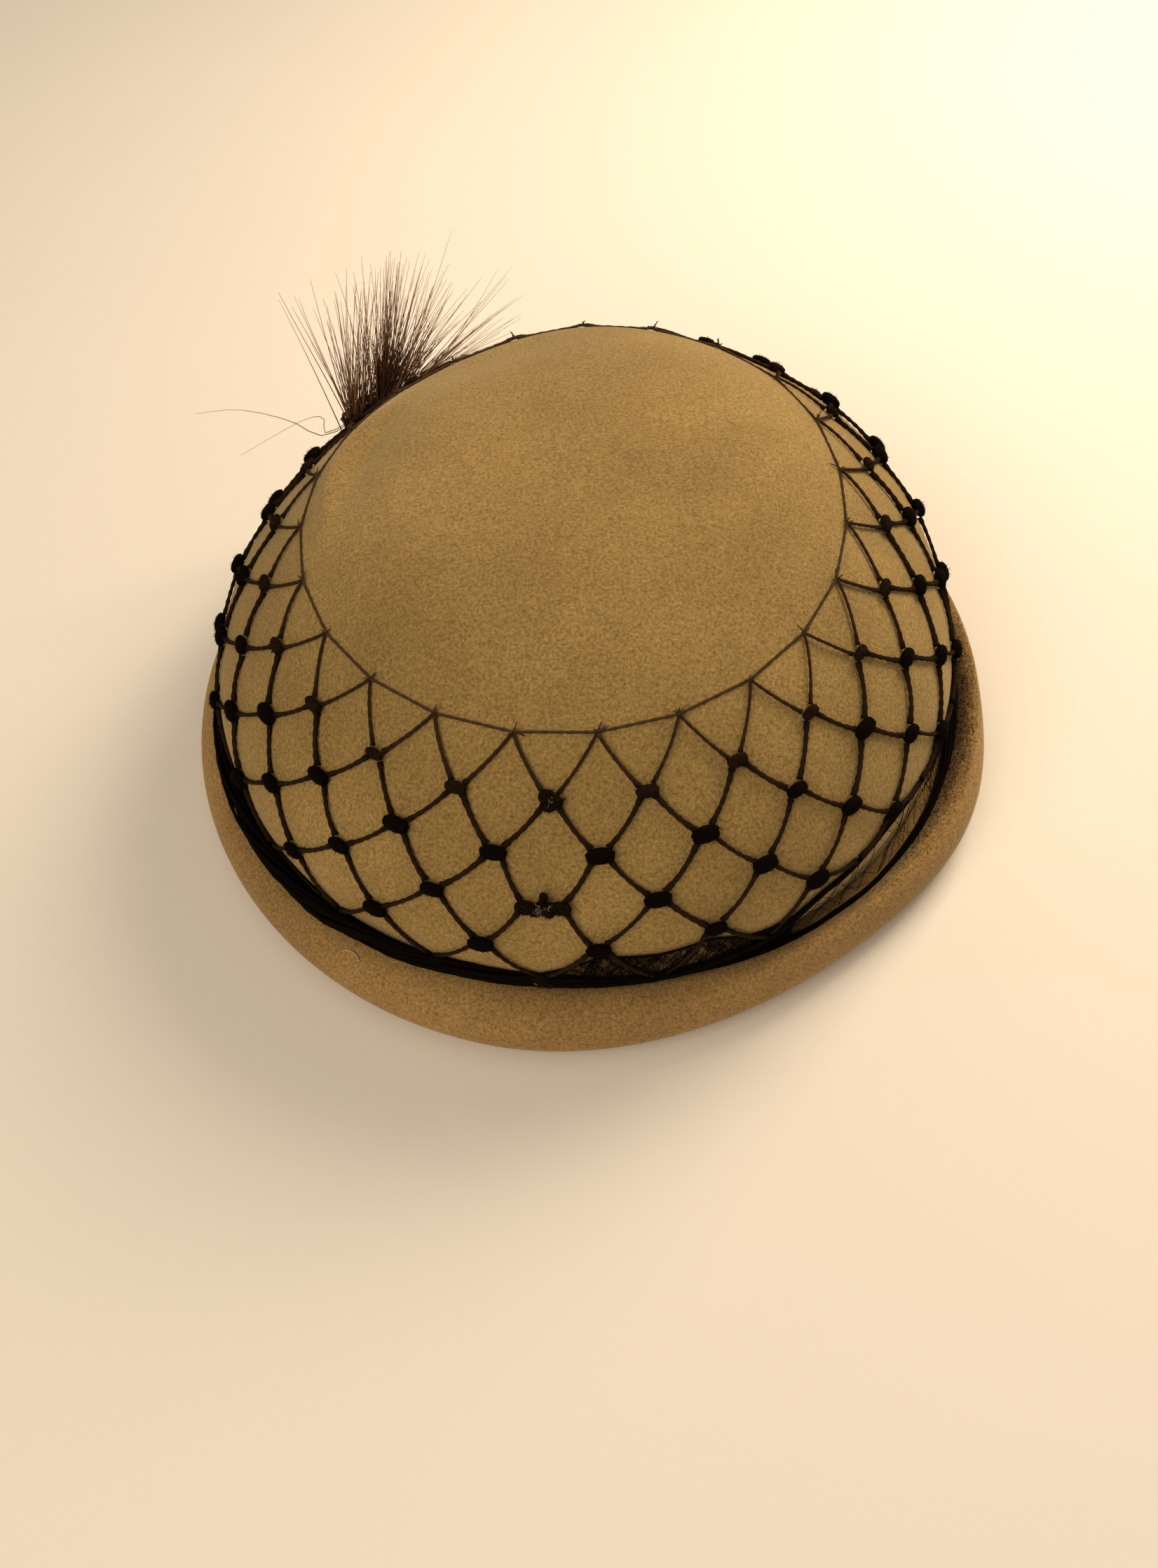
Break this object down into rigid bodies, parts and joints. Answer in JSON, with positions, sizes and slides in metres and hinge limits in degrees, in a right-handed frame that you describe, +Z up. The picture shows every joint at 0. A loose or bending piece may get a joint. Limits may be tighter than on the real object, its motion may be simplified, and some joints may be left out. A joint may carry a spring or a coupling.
{
  "type": "fascinator hat",
  "caption": "Small domed felt hat with a rolled brim, a knotted veil net drawn round the crown and a hair plume at one side, worn perched on the head.",
  "frame": {"origin": "centre of the brim's footprint, on the plane the brim rests on", "axes": "+Z up through the crown, -Y to the wearer's front, +X to the wearer's left"},
  "size_m": [0.2301, 0.2423, 0.0942],
  "materials": {
    "crown_felt": "olive-khaki felt with a short dense nap",
    "brim_felt": "the same felt as the crown",
    "net_cord": "matt brown-black twisted cord with wrapped knots",
    "drawstring_thread": "matt dark brown thread",
    "plume_hair": "dark brown hair, paler at the tips"
  },
  "bodies": {
    "root": {"crown": "crown_felt", "brim": "brim_felt", "veil_net": "net_cord", "drawstring": "drawstring_thread", "plume": "plume_hair"}
  },
  "joints": []
}
